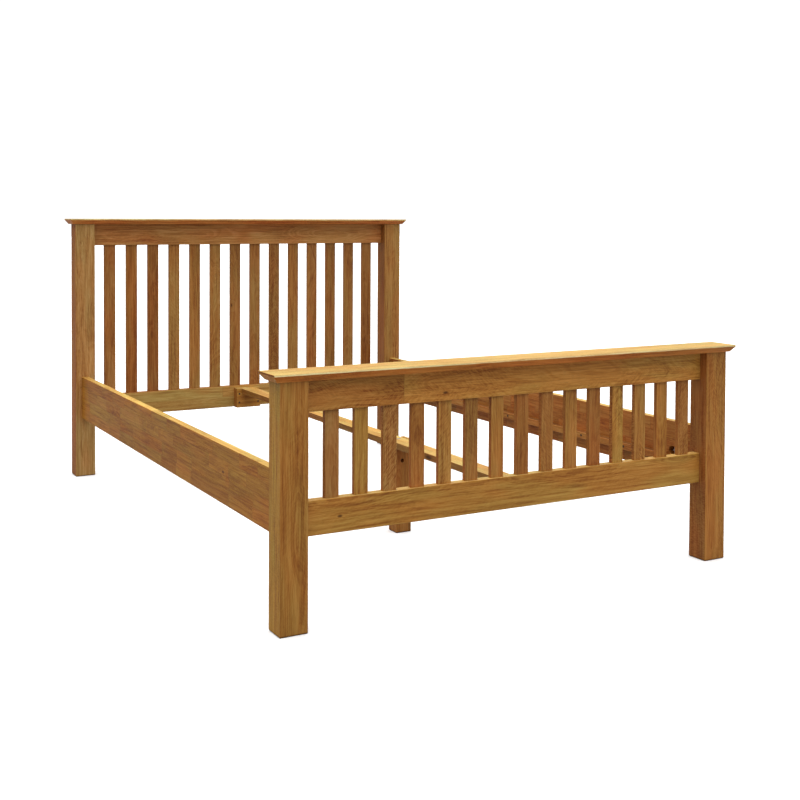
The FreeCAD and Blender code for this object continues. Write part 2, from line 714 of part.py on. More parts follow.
def make_ledger(side):
    """A slat ledger on the inner face of a side rail, with a row of screw holes."""
    across = SIDES[side]
    body = new_body(f"slat_ledger_{side}",
                    (across["ledger_corner"], "-ledger_length / 2", "ledger_level"))
    timber = add_block(body, "timber", ("0", "0", "0"),
                       ("ledger_width", "ledger_length", "ledger_height"))
    round_edges(body, timber, edges_along(timber, "Y"), "slat_arris_radius")
    holes = screw_hole(body, "screw", across["outwards"],
                       (across["ledger_inner_face"], "ledger_first_screw",
                        "ledger_height / 2"), "ledger_width")
    repeat_along(body, "screws", holes, "Y", "ledger_screw_spacing", "ledger_screw_count")
    return body


def make_ledger_screws():
    """The screws of both ledgers."""
    screws = []
    for side, across in SIDES.items():
        head = f"{across['sign']}(inner_width / 2 - ledger_width)"
        for number in range(count("ledger_screw_count")):
            along = f"-ledger_length / 2 + ledger_first_screw + {number} * ledger_screw_spacing"
            screws.append(wood_screw(f"ledger_screw_{side}_{number + 1}", across["outwards"],
                                     (head, along, "ledger_level + ledger_height / 2"),
                                     "ledger_screw_length"))
    return group("ledger_screws", screws)


def make_side_rail_dowels():
    """The dowels between the side rails and the posts."""
    dowels = []
    for across in SIDES.values():
        middle = f"{across['sign']}(inner_width / 2 + side_rail_thickness / 2)"
        for end in ENDS.values():
            for level in ("low", "high"):
                dowels.append(cylinder(f"side_rail_dowel_{len(dowels) + 1}", "+Y",
                                       (middle, f"{end['joint']} - rail_dowel_length / 2",
                                        f"side_rail_level + rail_dowel_{level}"),
                                       "dowel_diameter", "rail_dowel_length"))
    return group("side_rail_dowels", dowels)


def make_bed_bolts():
    """Inserts in the posts, studs, half moon washers and nuts of the four bed bolts."""
    inserts, studs, washers, nuts = [], [], [], []
    for across in SIDES.values():
        middle = f"{across['sign']}(inner_width / 2 + side_rail_thickness / 2)"
        for end in ENDS.values():
            number = len(studs) + 1
            into_post = end["into_post"]
            into_rail = OPPOSITE[into_post]
            joint = (middle, end["joint"], "bed_bolt_level")

            barrel = cylinder(f"insert_barrel_{number}", into_post, joint,
                              "insert_diameter", "insert_length")
            thread = cylinder(f"insert_thread_{number}", into_post, joint,
                              "bed_bolt_diameter + 2 * joint_clearance", "insert_length")
            inserts.append(bored(f"insert_{number}", barrel, thread))

            tip = step_along(end["joint"], into_post, "insert_length")
            studs.append(cylinder(f"stud_{number}", into_rail,
                                  (middle, tip, "bed_bolt_level"), "bed_bolt_diameter",
                                  "insert_length + bed_bolt_in_rail"))

            pocket = step_along(end["joint"], into_rail, "nut_pocket_in")
            washers.append(half_moon(number, across, end, pocket))

            flat = step_along(pocket, into_post, "half_moon_flat")
            hexagon = doc.addObject("Part::Prism", f"nut_hexagon_{number}")
            hexagon.Polygon = 6
            hexagon.Placement = FreeCAD.Placement(FreeCAD.Vector(), TURN[into_rail])
            place(hexagon, (middle, flat, "bed_bolt_level"))
            bind(hexagon, "Circumradius", "nut_across_flats / sqrt(3)")
            bind(hexagon, "Height", "nut_height")
            thread = cylinder(f"nut_thread_{number}", into_rail,
                              (middle, flat, "bed_bolt_level"),
                              "bed_bolt_diameter + 2 * joint_clearance", "nut_height")
            nuts.append(bored(f"nut_{number}", hexagon, thread))
    return [group("bed_bolt_inserts", inserts), group("bed_bolt_studs", studs),
            group("half_moon_washers", washers), group("bed_bolt_nuts", nuts)]


def half_moon(number, across, end, pocket):
    """A washer that fills the post's side of a nut pocket, flat towards the nut."""
    mouth = f"{across['sign']}(inner_width / 2 + nut_pocket_depth)"
    inwards = OPPOSITE[across["outwards"]]
    disc = cylinder(f"half_moon_disc_{number}", inwards, (mouth, pocket, "bed_bolt_level"),
                    "2 * half_moon_radius", "half_moon_height")
    slab = doc.addObject("Part::Box", f"half_moon_slab_{number}")
    bind(slab, "Length", "half_moon_height")
    bind(slab, "Width", "half_moon_radius")
    bind(slab, "Height", "2 * half_moon_radius")
    slab_low = mouth if inwards == "+X" else f"{mouth} - half_moon_height"
    if end["into_post"] == "-Y":
        slab_near = f"{pocket} - half_moon_flat - half_moon_radius"
    else:
        slab_near = f"{pocket} + half_moon_flat"
    place(slab, (slab_low, slab_near, "bed_bolt_level - half_moon_radius"))
    moon = doc.addObject("Part::Common", f"half_moon_solid_{number}")
    moon.Base = disc
    moon.Tool = slab
    middle = f"{across['sign']}(inner_width / 2 + side_rail_thickness / 2)"
    hole = cylinder(f"half_moon_hole_{number}", "+Y",
                    (middle, f"{pocket} - nut_pocket_diameter", "bed_bolt_level"),
                    "bed_bolt_hole", "2 * nut_pocket_diameter")
    return bored(f"half_moon_{number}", moon, hole)


# ---------------------------------------------------------------------------------
# Centre rail, hangers and centre leg
# ---------------------------------------------------------------------------------


def make_centre_rail():
    """The centre rail, with a screw hole at each end and the hole of the leg bolt."""
    body = new_body("centre_rail",
                    ("-centre_rail_width / 2", "centre_rail_start", "centre_rail_level"))
    timber = add_block(body, "timber", ("0", "0", "0"),
                       ("centre_rail_width", "centre_rail_length", "centre_rail_thickness"))
    round_edges(body, timber, edges_along(timber, "Y"), "slat_arris_radius")
    for name, along in (("foot", "hanger_depth / 2"),
                        ("head", "centre_rail_length - hanger_depth / 2")):
        screw_hole(body, f"{name}_screw", "-Z",
                   ("centre_rail_width / 2", along, "centre_rail_thickness"),
                   "centre_rail_thickness")
    bolt = ("leg_bolt_across + centre_rail_width / 2", "leg_bolt_along - centre_rail_start",
            "centre_rail_thickness")
    bore(body, "leg_bolt", "Z", bolt, "leg_bolt_diameter + 2 * joint_clearance",
         "centre_rail_thickness", backwards=True)
    countersink(body, "leg_bolt_sink", "-Z", bolt,
                "leg_bolt_head_diameter + 2 * joint_clearance",
                "leg_bolt_diameter + 2 * joint_clearance", "leg_bolt_head_height")
    bore(body, "cheek_pilot", "X",
         ("centre_rail_width", "leg_bolt_along - centre_rail_start",
          "centre_rail_thickness / 2"),
         "screw_hole", "cheek_screw_length - cheek_thickness + joint_end_clearance",
         backwards=True)
    return body


def hanger_height(board):
    """A hanger stands from the underside of its bottom rail to the top of the centre rail."""
    return f"(centre_seat_level - {board}_bottom_rail_level)"


def hanger_screw_places(board):
    """Places across and up a hanger, from its low corner, for its four screws."""
    walls = ("hanger_wall / 2", "hanger_width - hanger_wall / 2")
    levels = ("hanger_screw_in", f"{hanger_height(board)} - hanger_screw_in")
    return [(across, level) for across in walls for level in levels]


def make_hanger(board):
    """A notched block on a bottom rail that carries one end of the centre rail."""
    end = ENDS[board]
    body = new_body(f"centre_rail_hanger_{board}",
                    ("-hanger_width / 2", end["hanger_near"], f"{board}_bottom_rail_level"))
    timber = add_block(body, "timber", ("0", "0", "0"),
                       ("hanger_width", "hanger_depth", hanger_height(board)))
    round_edges(body, timber, edges_along(timber, "Z"), "slat_arris_radius")
    seat = f"{hanger_height(board)} - centre_rail_thickness"
    cut_block(body, "notch", ("hanger_wall", "0", seat),
              ("centre_rail_width + 2 * joint_clearance", "hanger_depth",
               "centre_rail_thickness"))
    for number, (across, up) in enumerate(hanger_screw_places(board), start=1):
        screw_hole(body, f"screw_{number}", end["into_post"],
                   (across, end["hanger_face"], up), "hanger_depth")
    bore(body, "rail_pilot", "Z", ("hanger_width / 2", end["hanger_seat"], seat),
         "screw_hole",
         "centre_rail_screw_length - centre_rail_thickness + joint_end_clearance",
         backwards=True)
    return body


def add_hanger_pilots(body, board):
    """Blind holes in a bottom rail for the screws of its hanger."""
    end = ENDS[board]
    for number, (across, up) in enumerate(hanger_screw_places(board), start=1):
        bore(body, f"hanger_pilot_{number}", "Y",
             (f"post_gap / 2 - hanger_width / 2 + {across}", end["rail_inner_face"], up),
             "screw_hole", "hanger_screw_length - hanger_depth + joint_end_clearance",
             backwards=end["into_post"] == "-Y")


def make_hanger_screws():
    """The screws that fasten both hangers to the bottom rails."""
    screws = []
    for board, end in ENDS.items():
        face = f"{end['hanger_near']} + {end['hanger_face']}"
        for across, up in hanger_screw_places(board):
            screws.append(wood_screw(
                f"hanger_screw_{len(screws) + 1}", end["into_post"],
                (f"-hanger_width / 2 + {across}", face, f"{board}_bottom_rail_level + {up}"),
                "hanger_screw_length"))
    return group("hanger_screws", screws)


def make_centre_leg():
    """The centre leg, with the holes of its bolt, barrel nut and cheek screws."""
    body = new_body("centre_leg", ("leg_left", "leg_face", "0"))
    timber = add_block(body, "timber", ("0", "0", "0"),
                       ("leg_width", "leg_depth", "centre_rail_level"))
    foot = chamfer_foot(body, timber)
    round_edges(body, foot, edges_along(foot, "Z"), "slat_arris_radius")
    bore(body, "bolt", "Z", ("leg_width / 2", "leg_depth / 2", "centre_rail_level"),
         "leg_bolt_diameter + 2 * joint_clearance",
         "leg_bolt_length - centre_rail_thickness + joint_end_clearance", backwards=True)
    bore(body, "barrel_nut", "Y", ("leg_width / 2", "0", "barrel_nut_level"),
         "barrel_nut_diameter + 2 * joint_clearance",
         "leg_depth / 2 + barrel_nut_length / 2")
    for level in ("low", "high"):
        bore(body, f"{level}_cheek_pilot", "X",
             ("leg_width", "leg_depth / 2", f"cheek_screw_{level}"), "screw_hole",
             "cheek_screw_length - cheek_thickness + joint_end_clearance", backwards=True)
    return body


def make_cheek():
    """The cheek board on the right of the leg, which also holds the centre rail."""
    body = new_body("centre_leg_cheek", ("centre_rail_width / 2", "leg_face", "0"))
    timber = add_block(body, "timber", ("0", "0", "0"),
                       ("cheek_thickness", "leg_depth", "centre_seat_level + cheek_proud"))
    foot = chamfer_foot(body, timber)
    round_edges(body, foot, edges_along(foot, "Z"), "slat_arris_radius")
    for name, level in (("low", "cheek_screw_low"), ("high", "cheek_screw_high"),
                        ("rail", "centre_rail_level + centre_rail_thickness / 2")):
        screw_hole(body, f"{name}_screw", "-X", ("cheek_thickness", "leg_depth / 2", level),
                   "cheek_thickness")
    return body


def make_support_screws():
    """Screws through the cheek board and through the ends of the centre rail."""
    screws = []
    outer = "centre_rail_width / 2 + cheek_thickness"
    for level in ("cheek_screw_low", "cheek_screw_high",
                  "centre_rail_level + centre_rail_thickness / 2"):
        screws.append(wood_screw(f"cheek_screw_{len(screws) + 1}", "-X",
                                 (outer, "leg_bolt_along", level), "cheek_screw_length"))
    for name, along in (("foot", "centre_rail_start + hanger_depth / 2"),
                        ("head", "centre_rail_end - hanger_depth / 2")):
        screws.append(wood_screw(f"centre_rail_screw_{name}", "-Z",
                                 ("0", along, "centre_seat_level"),
                                 "centre_rail_screw_length"))
    return group("centre_support_screws", screws)


def make_leg_bolt():
    """The bolt down through the centre rail into the leg."""
    return sunk_bolt("centre_support_bolt", "-Z",
                     ("leg_bolt_across", "leg_bolt_along", "centre_seat_level"),
                     "leg_bolt_diameter", "leg_bolt_head_diameter", "leg_bolt_head_height",
                     "leg_bolt_length")


def make_barrel_nut():
    """The barrel nut across the leg, with a thread hole for the leg bolt."""
    barrel = cylinder("barrel_nut_bar", "+Y",
                      ("leg_bolt_across", "leg_bolt_along - barrel_nut_length / 2",
                       "barrel_nut_level"), "barrel_nut_diameter", "barrel_nut_length")
    thread = cylinder("barrel_nut_thread", "+Z",
                      ("leg_bolt_across", "leg_bolt_along",
                       "barrel_nut_level - barrel_nut_diameter"),
                      "leg_bolt_diameter + 2 * joint_clearance", "2 * barrel_nut_diameter")
    return bored("centre_support_barrel_nut", barrel, thread)


# ---------------------------------------------------------------------------------
# Build, test and write
# ---------------------------------------------------------------------------------


def build():
    """Every node of the bed, in the order in which it would be put together."""
    for board in ENDS:
        for side in SIDES:
            nodes.append(make_post(board, side))
        nodes.append(make_cross_rail(board, "top"))
        bottom_rail = make_cross_rail(board, "bottom")
        add_hanger_pilots(bottom_rail, board)
        nodes.append(bottom_rail)
        for number in range(count(f"{board}_slat_count")):
            nodes.append(make_slat(board, number))
        nodes.append(make_cap(board))
    nodes.append(make_cap_dowels())
    for side in SIDES:
        nodes.append(make_side_rail(side))
        nodes.append(make_ledger(side))
    nodes.append(make_side_rail_dowels())
    nodes.extend(make_bed_bolts())
    nodes.append(make_ledger_screws())
    nodes.append(make_centre_rail())
    for board in ENDS:
        nodes.append(make_hanger(board))
    nodes.append(make_hanger_screws())
    nodes.append(make_centre_leg())
    nodes.append(make_cheek())
    nodes.append(make_leg_bolt())
    nodes.append(make_barrel_nut())
    nodes.append(make_support_screws())
    doc.recompute()


def test():
    """Stop if any object failed, if a cut took nothing away or if a node isn't sound."""
    for item in doc.Objects:
        if {"Invalid", "Error"} & set(item.State):
            raise RuntimeError(f"{item.Name} failed: {item.State}")
    cuts = ("PartDesign::Pocket", "PartDesign::SubtractiveCone", "PartDesign::Fillet",
            "PartDesign::Chamfer")
    for item in doc.Objects:
        if item.TypeId in cuts and item.Shape.Volume >= item.BaseFeature.Shape.Volume:
            raise RuntimeError(f"{item.Name} takes nothing away")
    for node in nodes:
        if node.Shape.isNull() or not node.Shape.isValid():
            raise RuntimeError(f"{node.Label} isn't a sound shape")


def write():
    """One STEP file for each node, named by its label."""
    os.makedirs("parts", exist_ok=True)
    for node in nodes:
        node.Shape.exportStep(os.path.join("parts", f"{node.Label}.step"))
        solids = len(node.Shape.Solids)
        print(f"{node.Label}: {solids} solid(s), {node.Shape.Volume / 1000:.1f} cm3")


build()
test()
write()
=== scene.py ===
"""Looks of the panel bed: lacquered oak with its own grain and tone on every piece."""

import math
import random

import bpy
from mathutils import Matrix, Vector


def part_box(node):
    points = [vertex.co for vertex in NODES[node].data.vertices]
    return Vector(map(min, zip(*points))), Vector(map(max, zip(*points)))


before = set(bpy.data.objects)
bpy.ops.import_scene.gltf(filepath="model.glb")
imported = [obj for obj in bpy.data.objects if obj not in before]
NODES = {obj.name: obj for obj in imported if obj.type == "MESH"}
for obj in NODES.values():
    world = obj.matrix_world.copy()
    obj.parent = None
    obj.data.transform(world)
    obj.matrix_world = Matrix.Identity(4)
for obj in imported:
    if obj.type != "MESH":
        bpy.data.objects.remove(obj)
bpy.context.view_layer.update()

# ---------------------------------------------------------------------------------
# Camera, solved from the photograph's straight edges: metres, degrees and pixels
# ---------------------------------------------------------------------------------

PHOTO_SIDE = 800
SENSOR_WIDTH = 36.0
CAMERA_PLACE = (-2.07657, -3.82622, 1.13177)
CAMERA_YAW = 26.865
CAMERA_PITCH = -1.401
CAMERA_ROLL = 0.172
CAMERA_REACH = 200.0
FOCAL_PIXELS = 1131.40
PRINCIPAL_POINT = (321.55, 244.91)

# ---------------------------------------------------------------------------------
# Studio: a wide pale floor, and light that is strongest overhead
# ---------------------------------------------------------------------------------

FLOOR_HALF = 60.0
FLOOR_SEEN = 0.80
FLOOR_BOUNCE = 0.24
SKY_TOP = 5.0
SKY_EDGE = 0.20
SKY_FALL = 3.0
BACKGROUND = 1.1
WHITE = (1.0, 1.0, 1.0, 1.0)

# ---------------------------------------------------------------------------------
# Oak: colours are linear, lengths in metres
# ---------------------------------------------------------------------------------

OAK_PALE = (0.524, 0.256, 0.066)
OAK_GOLD = (0.401, 0.168, 0.0345)
OAK_BROWN = (0.220, 0.070, 0.0130)
OAK_PORE = (0.080, 0.027, 0.007)
WARM_HUE = (1.04, 0.95, 0.88)
GREEN_HUE = (0.97, 1.05, 1.02)
WARM_STAVE = (1.02, 0.95, 0.90)
GREEN_STAVE = (0.99, 1.04, 1.02)

# Growth rings: widths, and the shares of a ring where its dark part sets in and ends
RING_WIDTH = 0.0026
RING_DARKENS = (0.10, 0.80)
RING_ENDS = (0.92, 1.0)
RING_RIPPLE = 0.0022
BAND_WIDTH = 0.0085
BEND_SIZE = 0.055

# Patterns of noise: how often each repeats in a metre across, through and along the grain
PORE_SCALE = (1500.0, 1500.0, 55.0)
FIBRE_SCALE = (520.0, 520.0, 8.0)
STREAK_SCALE = (120.0, 120.0, 2.4)
GRAIN_SCALE = (260.0, 260.0, 11.0)
RIPPLE_SCALE = (170.0, 170.0, 14.0)
CLOUD_SCALE = (8.0, 8.0, 2.0)
HUE_SCALE = (14.0, 14.0, 3.5)
RAY_SCALE = (95.0, 95.0, 270.0)
BEND_SCALE = (2.6, 2.6, 1.3)
EDGE_HIGHLIGHT_SCALE = (22.0, 22.0, 22.0)

# The same patterns: the noise values between which each fades in
BAND_LIMITS = (0.36, 0.64)
STREAK_LIMITS = (0.35, 0.66)
GRAIN_LIMITS = (0.39, 0.61)
FIBRE_LIMITS = (0.30, 0.70)
CLOUD_LIMITS = (0.32, 0.68)
HUE_LIMITS = (0.38, 0.62)
PORE_LIMITS = (0.58, 0.70)
RAY_LIMITS = (0.36, 0.64)
RAY_PATCHES = (0.36, 0.56)
EDGE_HIGHLIGHT_LIMITS = (0.35, 0.65)

# How much each pattern darkens the wood: 0 is pale oak, 0.5 gold and 1 brown
LATEWOOD_SHADE = 0.20
BAND_SHADE = 0.22
STREAK_SHADE = 0.24
GRAIN_SHADE = 0.30
FIBRE_SHADE = 0.12
RAY_SHADE = 0.27
CLOUD_SHADES = (-0.20, 0.08)
PORE_SHADE = 0.55

# Pores stand close in the early part of a ring and are few in the rest of it
PORES_THIN_OUT = (0.45, 0.05)
LATEWOOD_PORES = 0.20

# The lacquer: its shine and roughness, and the roughness that each pattern adds
LACQUER_SPECULAR = 0.15
LACQUER_COAT = 0.03
COAT_ROUGHNESS = 0.25
LACQUER_ROUGHNESS = 0.34
FIBRE_ROUGHNESS = 0.12
PORE_ROUGHNESS = 0.15
CLOUD_ROUGHNESS = 0.10
RAY_ROUGHNESS = 0.06
END_ROUGHNESS = 0.20

# Relief: heights in shares of the bump's distance, and the pores are 1 deep
FIBRE_HEIGHT = 0.35
LATEWOOD_DEPTH = 0.25
GRAIN_BUMP = 0.00016
GRAIN_BUMP_STRENGTH = 0.5

# How far the ray stripes lean, how far a seed moves into the patterns, and how far from
# the bend of the pith line its sway is read
RAY_LEAN = 1.2
SEED_STEP = (3.7, 9.1, 5.3)
SWAY_OFFSET = (0.0, 0.0, 4.4)

# Staves: how the rows are shifted and their joints spread along the board
ROW_SHIFT = 7.0
JOINT_WAVE = 0.30
JOINT_WAVE_RATE = 9.1
ROW_WAVE_RATE = 3.0
END_SEAM = (0.494, 0.498)
SIDE_SEAM = (0.485, 0.497)
SEAM_SHADE = 0.35
BUTT_SEAM = (0.0002, 0.0012)

# What sets the grain of a stave, the board past an end joint or a face apart from its
# neighbour: steps of the seed
STAVE_SEEDS = 23.0
STAVE_TINT_SEED = 5.0
JOINT_SEED = 5.3
FACE_SEED = 3.1

# Knots: all but the darkness in radii of the knot
KNOT_REACH = 5.0
KNOT_PUSH = 2.2
KNOT_CORE = 0.35

# Painted highlight on the long edges, darker end grain, and painted shade at the feet
EDGE_HIGHLIGHT_WIDTH = 0.0030
EDGE_HIGHLIGHT = (0.05, 0.40)
END_GRAIN_COSINES = (0.75, 0.95)
END_GRAIN_SHADE = 0.45
FOOT_SHADE_HEIGHTS = (0.001, 0.007)
FOOT_SHADE = 0.65

# How each tone changes the colour of the wood: factors on red, green and blue. Most tones
# are the pieces' own colour; those marked below paint light and shade on single faces
TONES = {
    "plain": (1.01, 1.04, 1.10),
    "pale": (1.06, 1.18, 1.26),
    "gold": (1.07, 1.15, 1.04),
    "amber": (1.03, 0.94, 0.85),
    "warm": (0.99, 0.94, 0.91),
    "olive": (0.96, 1.04, 1.26),
    # Painted light on the outer face of the footboard's left post
    "sage": (0.97, 1.17, 0.86),
    "tan": (0.93, 0.97, 1.11),
    "dull": (0.84, 0.86, 1.03),
    "rose": (0.92, 0.83, 1.00),
    "red": (0.94, 0.82, 0.82),
    "rust": (0.88, 0.76, 0.79),
    "brown": (0.90, 0.91, 0.84),
    "dark": (0.79, 0.77, 0.90),
    "dark_red": (0.79, 0.68, 0.76),
    # Painted shadow: a deep dark tone for faces that lie in shade, the ledgers' tops and the
    # footboard cap's end
    "shadow_umber": (0.42, 0.36, 0.40),
    "chestnut": (0.86, 0.81, 0.49),
    # Painted shade on the outer face of the headboard's left post
    "deep_red": (0.80, 0.57, 0.21),
    # Painted light on the caps' downward bevels: this tone and the next two
    "orange": (1.55, 1.18, 1.18),
    "bronze": (1.38, 1.04, 0.80),
    "fawn": (1.32, 1.26, 0.92),
    "bright": (1.12, 1.07, 1.00),
    "bright_gold": (1.31, 1.38, 1.30),
    # Painted light for single faces from here on: lighter fronts and tops, painted sheen on the
    # caps' tops, painted highlights on the caps' front edges, and the lit tops of the side rails
    "light": (1.32, 1.31, 1.78),
    "lit_pale": (1.09, 1.31, 1.95),
    "toplit_straw": (1.13, 1.56, 1.95),
    "fair": (1.04, 1.42, 1.82),
    "sheen_cream": (1.14, 1.66, 2.20),
    "lip": (1.98, 3.55, 7.80),
    "pale_lip": (2.30, 4.50, 9.00),
    "sunlit": (1.62, 2.45, 2.90),
}

# ---------------------------------------------------------------------------------
# Which wood each piece is cut from
# ---------------------------------------------------------------------------------

# For each axis of the grain: its direction, and which parts of a place lie across the
# board, through it and along the grain
ACROSS, THROUGH, ALONG = 0, 1, 2
GRAIN_AXES = {"X": (1, 0, 0), "Y": (0, 1, 0), "Z": (0, 0, 1)}
GRAIN_ORDER = {"X": (2, 1, 0), "Y": (2, 0, 1), "Z": (0, 1, 2)}

# What the name of a piece starts with, the axis of its grain, and its tone
CUTS = (
    ("headboard_post_left", "Z", "olive"),
    ("headboard_post_right", "Z", "plain"),
    ("footboard_post_left", "Z", "olive"),
    ("footboard_post_right", "Z", "gold"),
    ("headboard_cap", "X", "gold"),
    ("footboard_cap", "X", "gold"),
    ("headboard_top_rail", "X", "plain"),
    ("headboard_bottom_rail", "X", "plain"),
    ("footboard_top_rail", "X", "bright"),
    ("footboard_bottom_rail", "X", "gold"),
    ("side_rail_left", "Y", "chestnut"),
    ("side_rail_right", "Y", "red"),
    ("slat_ledger_", "Y", "red"),
    ("centre_rail_hanger_", "X", "gold"),
    ("centre_rail", "Y", "plain"),
    ("centre_leg_cheek", "Z", "olive"),
    ("centre_leg", "Z", "red"),
)

# Tones of the upright slats, from the left
SLAT_TONES = {
    "headboard_slat_": ("rose rust dark_red olive tan olive dull dull dark tan rose dark "
                        "dull dark_red").split(),
    "footboard_slat_": ("dull gold olive red pale tan warm rust tan plain rust gold plain "
                        "amber tan").split(),
}

# Painted light and shade on single faces: each tone here makes one face of a piece lighter or
# darker than the rest, standing in for how the light falls on it. Tops and outward faces are
# lightened. The inner faces of the posts and of the right side rail, the ledgers' tops and the
# footboard cap's end are darkened. The caps' bevels are lightened, and the caps' front edges
# and the headboard cap's end carry a painted highlight
FACE_LIGHT_AND_SHADE = {
    "headboard_post_left": {"left": "deep_red", "front": "lit_pale"},
    "headboard_post_right": {"left": "dark_red", "front": "olive"},
    "footboard_post_left": {"front": "brown", "left": "sage"},
    "footboard_post_right": {"left": "dark_red", "front": "warm"},
    "headboard_cap": {"front": "pale_lip", "left": "lip", "front_bevel": "orange",
                      "left_bevel": "orange", "top": "sheen_cream"},
    "footboard_cap": {"front": "lip", "left": "shadow_umber", "front_bevel": "bronze",
                      "left_bevel": "fawn", "top": "sheen_cream"},
    "slat_ledger_left": {"top": "shadow_umber"},
    "slat_ledger_right": {"top": "shadow_umber"},
    "side_rail_left": {"top": "sunlit"},
    "side_rail_right": {"top": "sunlit", "left": "rust"},
    "headboard_top_rail": {"front": "light", "top": "toplit_straw"},
    "headboard_bottom_rail": {"front": "fair", "top": "chestnut"},
}
# Painted shade: the slats' side faces, which look into the narrow gaps between them, are darker
SLAT_SIDE_SHADE = {"left": "rust", "right": "rust"}
# Painted light: the tops of all other pieces are lighter, as if lit from above
OTHER_TOP_LIGHT = {"top": "toplit_straw"}

# Boards glued end to end: where the joint is along X, and the tone past it
END_JOINTS = {
    "footboard_top_rail": (-0.411, "bright_gold"),
    "headboard_cap": (0.690, "dark"),
}

# Glued staves: whether their rows are counted across the board or through it, row height,
# stave length, and how far their tones differ
STAVES = {
    "side_rail_left": (ACROSS, 0.0453, 0.21, 0.10),
    "side_rail_right": (ACROSS, 0.0453, 0.24, 0.09),
    "headboard_bottom_rail": (ACROSS, 0.0490, 0.36, 0.12),
    "centre_rail": (THROUGH, 0.0350, 0.55, 0.12),
}

# How strongly the ray stripes show, where it isn't the usual strength
RAYS = 0.35
STRONG_RAYS = {
    "footboard_slat_01": 0.8, "footboard_slat_03": 1.3, "footboard_slat_05": 0.8,
    "footboard_slat_09": 0.8, "footboard_slat_12": 1.3, "footboard_slat_13": 1.5,
    "footboard_slat_15": 0.9, "footboard_top_rail": 0.8, "footboard_post_right": 0.7,
    "headboard_slat_04": 0.8, "headboard_slat_09": 1.2,
}

# Knots on the front face of a piece, at (x, z), or on its left face, at (y, z): radius,
# how many times longer along the grain, and darkness; those with no darkness only push
# the rings into ovals
KNOTS = {
    "footboard_top_rail": [("front", (-0.2704, 0.6229), 0.0055, 2.2, 0.85),
                           ("front", (-0.200, 0.612), 0.010, 6.0, 0.0),
                           ("front", (0.310, 0.648), 0.010, 7.0, 0.0)],
    "footboard_bottom_rail": [("front", (-0.6166, 0.3018), 0.005, 2.2, 0.85)],
    "side_rail_left": [("left", (-0.62, 0.352), 0.006, 2.2, 0.85)],
    "centre_rail": [("left", (-0.6003, 0.3218), 0.0095, 2.6, 0.95)],
    "headboard_slat_07": [("front", (-0.07, 0.72), 0.005, 2.2, 0.85)],
    "headboard_slat_03": [("front", (-0.45, 0.80), 0.004, 3.0, 0.35),
                          ("front", (-0.46, 0.60), 0.004, 3.0, 0.30)],
    "headboard_slat_06": [("front", (-0.15, 0.86), 0.004, 3.0, 0.25)],
    "footboard_post_right": [("front", (0.775, 0.44), 0.009, 8.0, 0.0)],
    "headboard_post_left": [("front", (-0.765, 0.62), 0.009, 9.0, 0.0)],
}

# How the pith line lies beside a piece: how far to either side, and how far in front or behind
PITH_ASIDE = 0.05
PITH_AWAY = (0.04, 0.12)
LARGEST_SEED = 9.0
DICE_SEED = 7

# The bevel under the caps, which gives its faces their direction
BEVEL_HEIGHT = 0.018
BEVEL_DEPTH = 0.014
BEVEL_SLOPE = math.hypot(BEVEL_HEIGHT, BEVEL_DEPTH)
BEVEL_OUT = BEVEL_HEIGHT / BEVEL_SLOPE
BEVEL_DOWN = BEVEL_DEPTH / BEVEL_SLOPE

# Where each face looks, and the cosine from which on a surface belongs to it
FACE_NORMALS = {"left": (-1, 0, 0), "right": (1, 0, 0), "front": (0, -1, 0), "top": (0, 0, 1),
                "front_bevel": (0, -BEVEL_OUT, -BEVEL_DOWN),
                "left_bevel": (-BEVEL_OUT, 0, -BEVEL_DOWN)}
FACING_COSINE = 0.92

# ---------------------------------------------------------------------------------
# Dowels and fittings
# ---------------------------------------------------------------------------------

BEECH_PALE = (0.58, 0.40, 0.24)
BEECH_CLOUD = (0.48, 0.31, 0.17)
BEECH_FLECK = (0.40, 0.24, 0.13)
BEECH_FLECK_SCALE = (700.0, 700.0, 90.0)
BEECH_FLECK_LIMITS = (0.52, 0.70)
BEECH_FLECK_BUMP = 0.4
BEECH_CLOUD_SCALE = (60.0, 60.0, 12.0)
BEECH_CLOUD_SHADE = 0.4
BEECH_ROUGH_LIMITS = (0.2, 0.8)
BEECH_ROUGHNESS = (0.50, 0.68)

PLATING_SCALE = (160.0, 160.0, 160.0)
PLATING_LIMITS = (0.35, 0.70)
PLATING_ROUGH_LIMITS = (0.3, 0.7)
PLATING_ROUGHNESS = (0.24, 0.46)
SCRATCH_ROUGHNESS = 0.12
SCRATCH_BUMP_STRENGTH = 0.3
SCRATCH_BUMP = 0.00005

# Plated metals: bright colour, dull colour, and how often scratches repeat in a metre
BRASS = ((0.66, 0.45, 0.17), (0.42, 0.27, 0.10), (900.0, 900.0, 60.0))
ZINC = ((0.50, 0.49, 0.47), (0.27, 0.26, 0.25), (1200.0, 150.0, 1200.0))
BRONZED = ((0.10, 0.075, 0.055), (0.045, 0.035, 0.030), (900.0, 900.0, 900.0))


